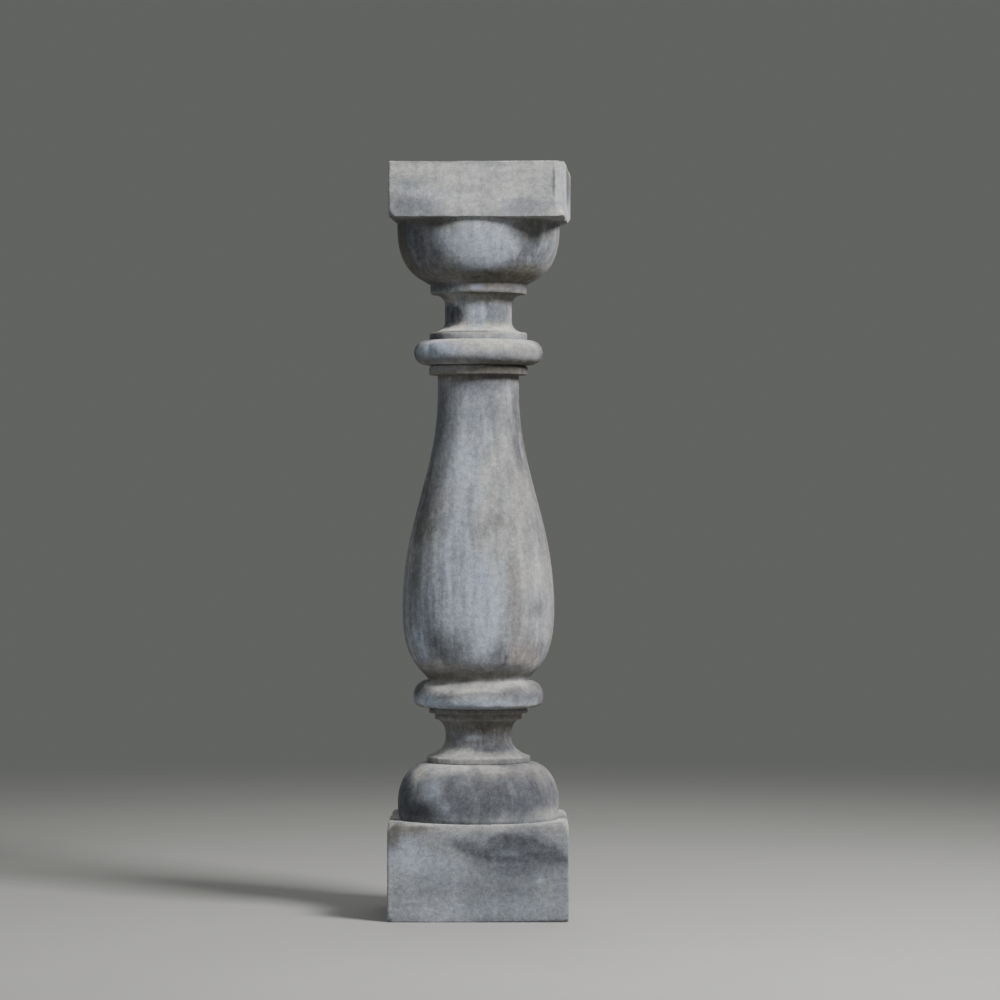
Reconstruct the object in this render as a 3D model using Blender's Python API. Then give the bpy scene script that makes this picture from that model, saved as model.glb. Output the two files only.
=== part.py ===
"""A weathered stone baluster, turned and cut from one block.

Metres, +Z up. The origin is the centre of the underside. The front looks along -Y, and
+X is to the right of someone who faces it. From the ground up it has a square plinth
die, a cushion, a scotia, a ring, a pear-shaped shaft, an astragal, a second ring, a
neck, a bowl and a square head die. The sizes are in the same order.
"""

import math

import bmesh
import bpy
from mathutils import Matrix, Vector

# Plinth die: its turned top dips towards the cushion, so the corners stand highest.
PLINTH_WIDTH = 0.150
PLINTH_HEIGHT = 0.0836
PLINTH_DIP = 0.0036
PLINTH_LEDGE = 0.0071
PLINTH_ARRIS = 0.0022
PLINTH_CORNER_WEAR = 0.0055
FOOT_ARRIS = 0.0012

# Cushion on the plinth, and the fillet on top of it
CUSHION_UNDERCUT = 0.0136
CUSHION_TUCK = 0.0012
CUSHION_RISE = 0.0340
CUSHION_FILLET_RADIUS = 0.0434
CUSHION_FILLET_HEIGHT = 0.0054

# Scotia: a wide hollow below, the lower neck, and a narrower hollow above. The flare and
# the pull are how far the wide hollow runs straight at its foot and at its head.
SCOTIA_FOOT_HEIGHT = 0.0162
SCOTIA_FOOT_FLARE = (-0.0050, 0.0020)
SCOTIA_FOOT_PULL = 0.0110
LOWER_NECK_RADIUS = 0.0276
LOWER_NECK_HEIGHT = 0.0013
SCOTIA_HEAD_HEIGHT = 0.0135
STEP_RADIUS = 0.0367
STEP_HEIGHT = 0.0050
RING_SEAT_RADIUS = 0.0416
RING_SEAT_HEIGHT = 0.0047

# Lower ring, whose upper edge is worn to a bevel, most of all at the front left. The pull
# is how far its underside runs level, and then how far its side stays upright.
LOWER_RING_RADIUS = 0.0546
LOWER_RING_UNDERSIDE = 0.0106
LOWER_RING_PULL = (0.0108, 0.0090)
LOWER_RING_TOP = 0.0124
LOWER_RING_WEAR = 0.0045
LOWER_RING_WEAR_AZIMUTH = math.radians(-40)

# Pear-shaped shaft: each pull is how far its curve stays upright at that point.
SHAFT_FOOT_RADIUS = 0.0422
SHAFT_FOOT_PULL = 0.0062
BELLY_RADIUS = 0.0640
BELLY_HEIGHT = 0.0583
BELLY_PULL_DOWN = 0.0471
BELLY_PULL_UP = 0.0762
THROAT_RADIUS = 0.03415
THROAT_RISE = 0.1860
THROAT_PULL = 0.0707
THROAT_HEIGHT = 0.0124

# Astragal, the shallow recess over it and the upper ring
ASTRAGAL_RADIUS = 0.0415
ASTRAGAL_HEIGHT = 0.0072
RECESS_RADIUS = 0.0400
RECESS_HEIGHT = 0.0012
UPPER_RING_RADIUS = 0.0542
UPPER_RING_HEIGHT = 0.0206
UPPER_RING_SEAT_RADIUS = 0.0410
UPPER_RING_SEAT_HEIGHT = 0.0065

# Upper neck between two hollows
NECK_FOOT_RADIUS = 0.0396
NECK_FOOT_HEIGHT = 0.0091
UPPER_NECK_RADIUS = 0.0280
UPPER_NECK_HEIGHT = 0.0144
NECK_HEAD_RADIUS = 0.0384
NECK_HEAD_HEIGHT = 0.0090

# Bowl under the head die
BOWL_SEAT_RADIUS = 0.0403
BOWL_SEAT_HEIGHT = 0.0087
BOWL_FOOT_RADIUS = 0.0421
BOWL_FOOT_PULL = (0.0085, 0.0055)
BOWL_RISE = 0.0459
BOWL_LIP_PULL = 0.0345
BOWL_LIP_HEIGHT = 0.0059

# Head die: it sits a little askew. A flake is broken off its front right arris, down to a
# little above the foot.
HEAD_WIDTH = 0.1453
HEAD_HEIGHT = 0.0461
HEAD_OVERHANG = 0.00435
HEAD_TURN = math.radians(-3.0)
HEAD_OFFSET = 0.0025
HEAD_ARRIS = 0.0017
FLAKE_FRONT = 0.0082
FLAKE_SIDE = 0.0095
FLAKE_TOP_FLARE = 0.0015
CHIP_WIDTH = 0.0045
BREAK_HEIGHT = 0.0050

# Small roundings on the edges of the turned fillets
FILLET_WEAR = 0.0010

# Stone
STONE_COLOUR = (0.42, 0.42, 0.41, 1.0)
STONE_ROUGHNESS = 0.88

# Number of straight runs in each ring of points and in each kind of curve
SIDE_POINTS = 8
CORNER_POINTS = 3
RING_POINTS = 4 * (SIDE_POINTS + CORNER_POINTS)
HOLLOW_STEPS = 4
TUCK_STEPS = 2
RING_QUARTER_STEPS = 4
CUSHION_STEPS = 7
BOWL_STEPS = 8
BELLY_STEPS = 7
SHAFT_STEPS = 12

# How deep the middle of a broken corner lies, as a share of its size: a worn corner
# is rounded, and a broken one is flat.
ROUNDED = 1 - math.sqrt(0.5)
FLAT = 0.5


def ellipse_arc(centre_radius, centre_height, reach, rise, start, end, steps):
    """Radius and height along an ellipse, from one angle to another. Angle 0 is its
    outermost point, and positive angles are above it."""
    points = []
    for step in range(steps + 1):
        angle = start + (end - start) * step / steps
        radius = centre_radius + reach * math.cos(angle)
        points.append((radius, centre_height + rise * math.sin(angle)))
    return points


def bezier(start, start_handle, end_handle, end, steps):
    """Radius and height along a cubic curve between two points."""
    corners = [Vector(point) for point in (start, start_handle, end_handle, end)]
    points = []
    for step in range(steps + 1):
        t = step / steps
        weights = ((1 - t) ** 3, 3 * (1 - t) ** 2 * t, 3 * (1 - t) * t ** 2, t ** 3)
        point = sum((w * c for w, c in zip(weights, corners)), Vector((0, 0)))
        points.append(tuple(point))
    return points


def fillet(radius, base, height):
    """A plain upright band with a worn upper edge."""
    top = base + height
    rounding = FILLET_WEAR * ROUNDED
    return [
        (radius, base),
        (radius, top - FILLET_WEAR),
        (radius - rounding, top - rounding),
        (radius - FILLET_WEAR, top),
    ]


def hollow(foot_radius, head_radius, base, height):
    """A quarter of an ellipse cut into the stone: upright at its narrow end and level at
    its wide one."""
    if foot_radius > head_radius:
        return ellipse_arc(foot_radius, base + height, head_radius - foot_radius, height,
                           -math.pi / 2, 0, HOLLOW_STEPS)
    return ellipse_arc(head_radius, base, foot_radius - head_radius, height,
                       0, math.pi / 2, HOLLOW_STEPS)


def cushion_profile(base):
    """The cushion: tucked in a little below its widest point, and rounded above it."""
    widest = PLINTH_WIDTH / 2 - PLINTH_LEDGE
    reach = widest - CUSHION_FILLET_RADIUS
    height = base + CUSHION_UNDERCUT
    tuck_angle = math.acos(1 - CUSHION_TUCK / reach)
    under_rise = CUSHION_UNDERCUT / math.sin(tuck_angle)
    under = ellipse_arc(CUSHION_FILLET_RADIUS, height, reach, under_rise,
                        -tuck_angle, 0, TUCK_STEPS)
    over = ellipse_arc(CUSHION_FILLET_RADIUS, height, reach, CUSHION_RISE,
                       0, math.pi / 2, CUSHION_STEPS)
    return under + over[1:-1]


def scotia_profile(base):
    """The cushion's fillet, the lower neck with its two hollows, and the two steps that
    carry the lower ring."""
    points = fillet(CUSHION_FILLET_RADIUS, base, CUSHION_FILLET_HEIGHT)
    height = base + CUSHION_FILLET_HEIGHT
    edge = Vector((CUSHION_FILLET_RADIUS - FILLET_WEAR, height))
    height += SCOTIA_FOOT_HEIGHT
    points += bezier(edge, edge + Vector(SCOTIA_FOOT_FLARE),
                     (LOWER_NECK_RADIUS, height - SCOTIA_FOOT_PULL),
                     (LOWER_NECK_RADIUS, height), HOLLOW_STEPS)[1:]
    height += LOWER_NECK_HEIGHT
    points += hollow(LOWER_NECK_RADIUS, STEP_RADIUS, height, SCOTIA_HEAD_HEIGHT)
    height += SCOTIA_HEAD_HEIGHT
    points.append((STEP_RADIUS, height + STEP_HEIGHT))
    height += STEP_HEIGHT
    points += fillet(RING_SEAT_RADIUS, height, RING_SEAT_HEIGHT)
    return points, height + RING_SEAT_HEIGHT


def lower_ring_profile(base):
    """The ring under the shaft, fuller below than above."""
    height = base + LOWER_RING_UNDERSIDE
    reach = LOWER_RING_RADIUS - SHAFT_FOOT_RADIUS
    under = bezier((SHAFT_FOOT_RADIUS, base), (SHAFT_FOOT_RADIUS + LOWER_RING_PULL[0], base),
                   (LOWER_RING_RADIUS, height - LOWER_RING_PULL[1]),
                   (LOWER_RING_RADIUS, height), RING_QUARTER_STEPS)
    over = ellipse_arc(SHAFT_FOOT_RADIUS, height, reach, LOWER_RING_TOP,
                       0, math.pi / 2, RING_QUARTER_STEPS)
    return under + over[1:], height + LOWER_RING_TOP


def shaft_profile(base):
    """The pear: out to the belly, in to the throat, and straight up to the astragal."""
    belly = base + BELLY_HEIGHT
    throat = belly + THROAT_RISE
    swell = bezier((SHAFT_FOOT_RADIUS, base), (SHAFT_FOOT_RADIUS, base + SHAFT_FOOT_PULL),
                   (BELLY_RADIUS, belly - BELLY_PULL_DOWN), (BELLY_RADIUS, belly),
                   BELLY_STEPS)
    taper = bezier((BELLY_RADIUS, belly), (BELLY_RADIUS, belly + BELLY_PULL_UP),
                   (THROAT_RADIUS, throat - THROAT_PULL), (THROAT_RADIUS, throat),
                   SHAFT_STEPS)
    top = throat + THROAT_HEIGHT
    return swell[1:] + taper[1:] + [(THROAT_RADIUS, top)], top


def upper_ring_profile(base):
    """The astragal, the recess over it, the upper ring and the band it carries."""
    points = fillet(ASTRAGAL_RADIUS, base, ASTRAGAL_HEIGHT)
    height = base + ASTRAGAL_HEIGHT
    points.append((RECESS_RADIUS, height))
    height += RECESS_HEIGHT
    points.append((RECESS_RADIUS, height))
    rise = UPPER_RING_HEIGHT / 2
    points += ellipse_arc(UPPER_RING_RADIUS - rise, height + rise, rise, rise,
                          -math.pi / 2, math.pi / 2, 2 * RING_QUARTER_STEPS)
    height += UPPER_RING_HEIGHT
    points += fillet(UPPER_RING_SEAT_RADIUS, height, UPPER_RING_SEAT_HEIGHT)
    return points, height + UPPER_RING_SEAT_HEIGHT


def upper_neck_profile(base):
    """The upper neck between its two hollows."""
    points = hollow(NECK_FOOT_RADIUS, UPPER_NECK_RADIUS, base, NECK_FOOT_HEIGHT)
    height = base + NECK_FOOT_HEIGHT + UPPER_NECK_HEIGHT
    points += hollow(UPPER_NECK_RADIUS, NECK_HEAD_RADIUS, height, NECK_HEAD_HEIGHT)
    return points, height + NECK_HEAD_HEIGHT


def bowl_profile(base):
    """The bowl on its own band, up to the underside of the head die."""
    lip_radius = HEAD_WIDTH / 2 - HEAD_OVERHANG
    height = base + BOWL_SEAT_HEIGHT
    lip = height + BOWL_RISE
    foot = Vector((BOWL_FOOT_RADIUS, height))
    points = [(BOWL_SEAT_RADIUS, base), (BOWL_SEAT_RADIUS, height)]
    points += bezier(foot, foot + Vector(BOWL_FOOT_PULL),
                     (lip_radius, lip - BOWL_LIP_PULL), (lip_radius, lip), BOWL_STEPS)
    points.append((lip_radius, lip + BOWL_LIP_HEIGHT))
    return points, lip + BOWL_LIP_HEIGHT


def turned_profile():
    """Radius and height of all that is turned, from the plinth's top to the head's
    underside, with the heights where the lower ring is widest and where the head starts."""
    base = PLINTH_HEIGHT - PLINTH_DIP
    points = cushion_profile(base)
    scotia, height = scotia_profile(base + CUSHION_UNDERCUT + CUSHION_RISE)
    ring, ring_top = lower_ring_profile(height)
    shaft, height = shaft_profile(ring_top)
    points += scotia + ring + shaft
    for moulding in (upper_ring_profile, upper_neck_profile, bowl_profile):
        part, height = moulding(height)
        points += part
    return points, ring_top, height


def round_row(radius, height):
    """One ring of points, which starts beside the front right corner of the dies."""
    row = []
    for index in range(RING_POINTS):
        angle = -math.pi / 4 + 2 * math.pi * (index - 1) / RING_POINTS
        row.append(Vector((radius * math.cos(angle), radius * math.sin(angle), height)))
    return row


def corner_plan(corner, to_last, to_next, sizes, depth):
    """Three points that take a corner off along both faces."""
    start, end = to_last * sizes[0], to_next * sizes[1]
    return [corner + start, corner + (start + end) * depth, corner + end]


def die_row(width, height, breaks):
    """One ring of points around a square die. breaks gives the sizes along both faces and
    the depth of each broken corner: front right, back right, back left and front left."""
    half = width / 2
    signs = ((1, -1), (1, 1), (-1, 1), (-1, -1))
    corners = [Vector((half * x, half * y, height)) for x, y in signs]
    taken_off = []
    for index, corner in enumerate(corners):
        to_last = (corners[index - 1] - corner).normalized()
        to_next = (corners[(index + 1) % 4] - corner).normalized()
        taken_off.append(corner_plan(corner, to_last, to_next, *breaks[index]))
    row = []
    for index, points in enumerate(taken_off):
        start, end = points[-1], taken_off[(index + 1) % 4][0]
        row += points
        row += [start.lerp(end, (step + 1) / (SIDE_POINTS + 1)) for step in range(SIDE_POINTS)]
    return row


def worn_corners(size):
    """The breaks of a die whose four corners are worn round alike."""
    return [((size, size), ROUNDED)] * 4


def dipped_row(inset, wear_share, corner_wear):
    """One ring of the plinth's upper arris, which follows the dip of its top."""
    half = PLINTH_WIDTH / 2
    row = die_row(PLINTH_WIDTH - 2 * inset, 0, worn_corners(corner_wear))
    for point in row:
        outward = max(0, (point.xy.length - half) / (half * math.sqrt(2) - half))
        wear = PLINTH_ARRIS + (PLINTH_CORNER_WEAR - PLINTH_ARRIS) * outward ** 2
        point.z = PLINTH_HEIGHT - PLINTH_DIP * (1 - outward) - wear * wear_share
    return row


def plinth_rows():
    """The plinth die, from its underside to the edge of its dipped top."""
    return [
        die_row(PLINTH_WIDTH - 2 * FOOT_ARRIS, 0, worn_corners(PLINTH_ARRIS)),
        die_row(PLINTH_WIDTH, FOOT_ARRIS, worn_corners(PLINTH_ARRIS)),
        dipped_row(0, 1, PLINTH_ARRIS),
        dipped_row(ROUNDED * PLINTH_ARRIS, ROUNDED, PLINTH_CORNER_WEAR),
        dipped_row(PLINTH_ARRIS, 0, PLINTH_CORNER_WEAR),
    ]


def head_rows(base):
    """The head die, from its underside to its flat top, turned and shifted as one."""
    foot = worn_corners(HEAD_ARRIS)
    foot[3] = ((CHIP_WIDTH, CHIP_WIDTH), FLAT)
    body = worn_corners(HEAD_ARRIS)
    body[0] = ((FLAKE_FRONT, FLAKE_SIDE), FLAT)
    crown = worn_corners(HEAD_ARRIS)
    crown[0] = ((FLAKE_FRONT + FLAKE_TOP_FLARE, FLAKE_SIDE + FLAKE_TOP_FLARE), FLAT)
    top = base + HEAD_HEIGHT
    inner = HEAD_WIDTH - 2 * HEAD_ARRIS
    rows = [
        die_row(inner, base, foot),
        die_row(HEAD_WIDTH, base + HEAD_ARRIS, foot),
        die_row(HEAD_WIDTH, base + BREAK_HEIGHT, body),
        die_row(HEAD_WIDTH, top - BREAK_HEIGHT, body),
        die_row(HEAD_WIDTH, top - HEAD_ARRIS, crown),
        die_row(inner, top, crown),
    ]
    place = Matrix.Translation((HEAD_OFFSET, 0, 0)) @ Matrix.Rotation(HEAD_TURN, 4, "Z")
    return [[place @ point for point in row] for row in rows]


def wear_ring(rows, ring_top):
    """Wears the lower ring's rounded upper edge down towards a bevel."""
    facing = Vector((math.sin(LOWER_RING_WEAR_AZIMUTH), -math.cos(LOWER_RING_WEAR_AZIMUTH)))
    for row in rows:
        for point in row:
            share = 1 - (ring_top - point.z) / LOWER_RING_TOP
            if 0 < share < 1:
                side = (1 + facing.dot(point.xy.normalized())) / 2
                point.z -= LOWER_RING_WEAR * 4 * share * (1 - share) * side ** 2


def baluster_mesh():
    """Joins the rows of points into one closed skin."""
    profile, ring_top, head_base = turned_profile()
    turned = [round_row(radius, height) for radius, height in profile]
    wear_ring(turned, ring_top)
    rows = plinth_rows() + turned + head_rows(head_base)
    skin = bmesh.new()
    rings = [[skin.verts.new(point) for point in row] for row in rows]
    skin.faces.new(reversed(rings[0]))
    for lower, upper in zip(rings, rings[1:]):
        for index in range(RING_POINTS):
            after = (index + 1) % RING_POINTS
            skin.faces.new((lower[index], lower[after], upper[after], upper[index]))
    skin.faces.new(rings[-1])
    mesh = bpy.data.meshes.new("baluster")
    skin.to_mesh(mesh)
    skin.free()
    return mesh


def stone_material():
    """Grey weathered stone."""
    material = bpy.data.materials.new("weathered_stone")
    material.use_nodes = True
    shader = material.node_tree.nodes["Principled BSDF"]
    shader.inputs["Base Color"].default_value = STONE_COLOUR
    shader.inputs["Roughness"].default_value = STONE_ROUGHNESS
    shader.inputs["Metallic"].default_value = 0.0
    return material


def main():
    for leftover in list(bpy.data.objects):
        bpy.data.objects.remove(leftover, do_unlink=True)
    mesh = baluster_mesh()
    mesh.materials.append(stone_material())
    mesh.shade_smooth()
    mesh.set_sharp_from_angle(angle=math.radians(32))
    bpy.context.scene.collection.objects.link(bpy.data.objects.new("baluster", mesh))


main()
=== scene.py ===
"""The look of a weathered stone baluster: one dense skin over the plain solid, with its worn
edges, chips and cracks, and a stone material with lime bloom, stains and dirt, and some painted
shade, shadow and highlights.
"""

import math
from typing import NamedTuple

import bpy
import numpy as np
from mathutils import Matrix, Vector, noise


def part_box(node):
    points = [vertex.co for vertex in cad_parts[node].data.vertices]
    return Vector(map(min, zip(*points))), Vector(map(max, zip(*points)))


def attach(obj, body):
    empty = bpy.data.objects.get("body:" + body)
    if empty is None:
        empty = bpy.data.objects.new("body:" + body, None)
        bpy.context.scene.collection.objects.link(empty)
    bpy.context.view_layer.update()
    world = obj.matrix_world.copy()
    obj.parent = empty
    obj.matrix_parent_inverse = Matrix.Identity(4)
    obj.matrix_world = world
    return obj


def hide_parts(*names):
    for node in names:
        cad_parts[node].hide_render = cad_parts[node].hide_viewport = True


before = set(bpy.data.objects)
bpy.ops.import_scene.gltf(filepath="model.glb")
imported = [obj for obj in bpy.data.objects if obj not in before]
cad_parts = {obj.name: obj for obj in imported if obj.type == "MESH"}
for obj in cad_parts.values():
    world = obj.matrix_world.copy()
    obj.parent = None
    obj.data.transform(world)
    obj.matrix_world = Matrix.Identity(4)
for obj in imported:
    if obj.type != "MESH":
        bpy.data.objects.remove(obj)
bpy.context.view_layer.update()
low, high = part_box("baluster")

MM = 0.001

# The skin's grid: columns run up the baluster, and rows go round it.
SIDE_COLUMNS = 64
COLUMNS = 4 * SIDE_COLUMNS
ROW_SPACING = 2.75 * MM
EDGE_STEPS = 4
CORNER_CROWDING = 0.45

# Plinth die and cushion
PLINTH_HALF = 75.0 * MM
PLINTH_HEIGHT = 83.6 * MM
PLINTH_DIP = 3.6 * MM
PLINTH_ARRIS = 2.0 * MM
PLINTH_CORNER_WEAR = 4.5 * MM
FOOT_ARRIS = 0.9 * MM
CUSHION_RADIUS = 67.9 * MM
CUSHION_SEAT_RADIUS = 66.7 * MM
CUSHION_UNDERCUT = 13.6 * MM
CUSHION_RISE = 34.0 * MM
CUSHION_FILLET = (43.4 * MM, 5.4 * MM)
QUIRK_DEPTH = 1.3 * MM
QUIRK_WIDTH = 1.0 * MM

# Lower neck between its two hollows, and the steps under the lower ring
SCOTIA_FOOT_HEIGHT = 16.2 * MM
SCOTIA_FOOT_FLARE = (-5.0 * MM, 2.0 * MM)
SCOTIA_FOOT_PULL = 11.0 * MM
LOWER_NECK = (27.6 * MM, 1.3 * MM)
SCOTIA_HEAD_HEIGHT = 13.5 * MM
STEP = (36.7 * MM, 5.0 * MM)
RING_SEAT = (41.6 * MM, 4.7 * MM)

# Lower ring
LOWER_RING_RADIUS = 54.6 * MM
LOWER_RING_UNDERSIDE = 10.6 * MM
LOWER_RING_PULL = (10.8 * MM, 9.0 * MM)
LOWER_RING_TOP = 12.4 * MM

# The lower ring's upper edge is broken to a bevel. Its foot runs this high over the ring's
# widest line, in millimetres, at these degrees from the front.
BEVEL_FOOT = ((-100, 12.0), (-62, 10.0), (-40, 5.5), (-27, 1.0), (-12, 3.4), (6, 4.8),
              (22, 5.2), (40, 8.6), (75, 12.0))
BEVEL_WAVER = 0.6 * MM
BEVEL_LOWEST = 0.5 * MM

# Pear-shaped shaft
SHAFT_FOOT_RADIUS = 42.2 * MM
SHAFT_FOOT_PULL = 6.2 * MM
BELLY_RADIUS = 64.0 * MM
BELLY_HEIGHT = 58.3 * MM
BELLY_PULL_DOWN = 47.1 * MM
BELLY_PULL_UP = 76.2 * MM
THROAT_RADIUS = 34.15 * MM
THROAT_RISE = 186.0 * MM
THROAT_PULL = 70.7 * MM
THROAT_HEIGHT = 12.4 * MM

# Astragal, recess, upper ring and the band on it
ASTRAGAL = (41.5 * MM, 7.2 * MM)
RECESS = (40.0 * MM, 1.2 * MM)
UPPER_RING_RADIUS = 54.2 * MM
UPPER_RING_HEIGHT = 20.6 * MM
UPPER_RING_SEAT = (41.0 * MM, 6.5 * MM)

# Upper neck and bowl
NECK_FOOT = (39.6 * MM, 9.1 * MM)
UPPER_NECK = (28.0 * MM, 14.4 * MM)
NECK_HEAD = (38.4 * MM, 9.0 * MM)
BOWL_SEAT = (40.3 * MM, 8.7 * MM)
BOWL_FOOT_RADIUS = 42.1 * MM
BOWL_FOOT_PULL = (8.5 * MM, 5.5 * MM)
BOWL_RISE = 45.9 * MM
BOWL_LIP_RADIUS = 68.3 * MM
BOWL_LIP_PULL = 34.5 * MM
BOWL_LIP_HEIGHT = 5.9 * MM

# Head die
HEAD_HALF = 72.65 * MM
HEAD_TURN = math.radians(-3.0)
HEAD_OFFSET = 2.5 * MM
HEAD_ARRIS = 1.2 * MM

# The flake broken off the head's front right arris, and the crack beside it
FLAKE_FRONT = 8.2 * MM
FLAKE_SIDE = 9.5 * MM
FLAKE_FOOT = 4.0 * MM
FLAKE_TOP_FLARE = 1.5 * MM
FLAKE_WAVER = 0.7 * MM
CRACK_WIDTH = 1.1 * MM
CRACK_DEPTH = 1.3 * MM
CRACK_FOOT = 19.0 * MM
CRACK_HEAD = 41.0 * MM

# The long break under the head's right side: where it ends, how high over the underside
# that is, the way it faces and how far it reaches
BREAK_END = (76.0 * MM, 45.0 * MM)
BREAK_RISE = 3.8 * MM
BREAK_FACING = (0.5, 0.08, -1)
BREAK_REACH = 45.0 * MM

# Small chips along the arrises: the share that lies on the plinth, the share that takes an
# upright arris, their depths and their reaches
CHIP_SEED = 41
CHIP_COUNT = 70
ON_PLINTH = 0.55
ON_UPRIGHT = 0.45
CHIP_DEPTH = (0.3, 1.3)
CHIP_REACH = (2.5, 7.0)

# How much each kind of wear moves the skin, in millimetres
SWELL_RISE = 0.28
TOOLING_RISE = 0.10
GRAIN_RISE = 0.07
EDGE_BITE = 1.3
PIT_DEPTH = 1.8

# The plinth's bottom edge is worn up along the front by as much as this, at its right end.
FOOT_LIFT = 1.5 * MM

# Worn upper and lower edges of the upright bands
FILLET_WEAR = 1.7 * MM
UNDER_WEAR = 0.7 * MM

# The camera stands this far from the axis and looks level, a little to the right of it.
CAMERA_DISTANCE = 3.371
CAMERA_RIGHT = 18.2 * MM
CAMERA_HEIGHT = 351.5 * MM
CAMERA_TILT = math.radians(-0.057)
LENS_MM = 144.0
SENSOR_MM = 36.0

# Each light's name, azimuth and elevation in degrees, distance and size in metres, power in
# watts, and colour. Azimuth 0 is the front, and it grows to the right.
LIGHTS = (
    ("key", 45, 38, 1.7, 0.5, 46, (1.0, 0.99, 0.98)),
    ("front", -5, 20, 2.6, 2.0, 7, (0.86, 0.94, 1.0)),
    ("left", -80, 8, 2.4, 1.6, 5, (0.92, 0.94, 1.0)),
    ("back", 175, 30, 2.6, 2.0, 14, (1.0, 1.0, 1.0)),
)

# Floor and surroundings
FLOOR_RADIUS = 2.0
FLOOR_FADE = 0.4
FLOOR_LIGHT = (0.46, 0.455, 0.44, 1)
FLOOR_DARK = (0.40, 0.395, 0.38, 1)
SURROUNDINGS = (0.125, 0.130, 0.122, 1)


def smoothstep(edge_low, edge_high, value):
    """0 below the low edge, 1 above the high one, and smooth between them."""
    share = np.clip((value - edge_low) / (edge_high - edge_low), 0, 1)
    return share * share * (3 - 2 * share)


def noise_field(points, size, octaves, seed):
    """Smooth noise of about -1 to 1 at each point. size is its largest feature."""
    offset = Vector((3.7, 1.3, -2.9)) * seed
    flat = points.reshape(-1, 3) / size
    values = [noise.fractal(Vector(point) + offset, 1.0, 2.0, octaves) for point in flat]
    return np.array(values).reshape(points.shape[:-1])


# Turned profile: each function gives rows of radius and height.

def arc(centre_radius, centre_height, reach, rise, start, end):
    """Part of an ellipse. Angle 0 is its outermost point, and angles grow upwards."""
    length = abs(end - start) * (abs(reach) + rise) / 2
    steps = max(EDGE_STEPS, round(length / ROW_SPACING))
    angle = np.linspace(start, end, steps + 1)
    radius = centre_radius + reach * np.cos(angle)
    return np.column_stack((radius, centre_height + rise * np.sin(angle)))


def line(start, end):
    """A straight run between two points."""
    steps = max(1, round(math.dist(start, end) / ROW_SPACING))
    return np.linspace(start, end, steps + 1)


def bezier(start, start_handle, end_handle, end):
    """A cubic curve between two points."""
    steps = round(math.dist(start, end) * 1.04 / ROW_SPACING)
    t = np.linspace(0, 1, steps + 1)[:, None]
    corners = [np.array(point) for point in (start, start_handle, end_handle, end)]
    weights = ((1 - t) ** 3, 3 * (1 - t) ** 2 * t, 3 * (1 - t) * t ** 2, t ** 3)
    return sum(weight * corner for weight, corner in zip(weights, corners))


def band(base, radius, height):
    """An upright band with worn edges, and its top height."""
    top = base + height
    foot = arc(radius - UNDER_WEAR, base + UNDER_WEAR, UNDER_WEAR, UNDER_WEAR,
               -math.pi / 2, 0)
    upright = line((radius, base + UNDER_WEAR), (radius, top - FILLET_WEAR))
    crown = arc(radius - FILLET_WEAR, top - FILLET_WEAR, FILLET_WEAR, FILLET_WEAR,
                0, math.pi / 2)
    return np.vstack((foot, upright, crown)), top


def hollow(base, foot_radius, head_radius, height):
    """A quarter ellipse cut into the stone, upright at its narrow end."""
    if foot_radius > head_radius:
        rows = arc(foot_radius, base + height, head_radius - foot_radius, height,
                   -math.pi / 2, 0)
    else:
        rows = arc(head_radius, base, foot_radius - head_radius, height, 0, math.pi / 2)
    return rows, base + height


def cushion(base):
    """The cushion and its fillet."""
    reach = CUSHION_RADIUS - CUSHION_FILLET[0]
    height = base + CUSHION_UNDERCUT
    tuck = math.acos(1 - (CUSHION_RADIUS - CUSHION_SEAT_RADIUS) / reach)
    under = arc(CUSHION_FILLET[0], height, reach, CUSHION_UNDERCUT / math.sin(tuck),
                -tuck, 0)
    over = arc(CUSHION_FILLET[0], height, reach, CUSHION_RISE, 0, math.pi / 2)
    rows, top = band(height + CUSHION_RISE, *CUSHION_FILLET)
    return [under, over, rows], top


def scotia(base):
    """The lower neck, its two hollows and the two steps above them."""
    edge = np.array((CUSHION_FILLET[0] - FILLET_WEAR, base))
    height = base + SCOTIA_FOOT_HEIGHT
    foot = bezier(edge, edge + SCOTIA_FOOT_FLARE,
                  (LOWER_NECK[0], height - SCOTIA_FOOT_PULL), (LOWER_NECK[0], height))
    head, top = hollow(height + LOWER_NECK[1], LOWER_NECK[0], STEP[0], SCOTIA_HEAD_HEIGHT)
    step = line((STEP[0], top), (STEP[0], top + STEP[1]))
    seat, height = band(top + STEP[1], *RING_SEAT)
    return [foot, head, step, seat], height


def lower_ring(base):
    """The ring under the shaft."""
    height = base + LOWER_RING_UNDERSIDE
    reach = LOWER_RING_RADIUS - SHAFT_FOOT_RADIUS
    under = bezier((SHAFT_FOOT_RADIUS, base), (SHAFT_FOOT_RADIUS + LOWER_RING_PULL[0], base),
                   (LOWER_RING_RADIUS, height - LOWER_RING_PULL[1]),
                   (LOWER_RING_RADIUS, height))
    over = arc(SHAFT_FOOT_RADIUS, height, reach, LOWER_RING_TOP, 0, math.pi / 2)
    return [under, over], height + LOWER_RING_TOP


def shaft(base):
    """The pear, from the ring to the astragal."""
    belly = base + BELLY_HEIGHT
    throat = belly + THROAT_RISE
    swell = bezier((SHAFT_FOOT_RADIUS, base), (SHAFT_FOOT_RADIUS, base + SHAFT_FOOT_PULL),
                   (BELLY_RADIUS, belly - BELLY_PULL_DOWN), (BELLY_RADIUS, belly))
    taper = bezier((BELLY_RADIUS, belly), (BELLY_RADIUS, belly + BELLY_PULL_UP),
                   (THROAT_RADIUS, throat - THROAT_PULL), (THROAT_RADIUS, throat))
    top = throat + THROAT_HEIGHT
    neck = line((THROAT_RADIUS, throat), (THROAT_RADIUS, top))
    return [swell, taper, neck], top


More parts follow.
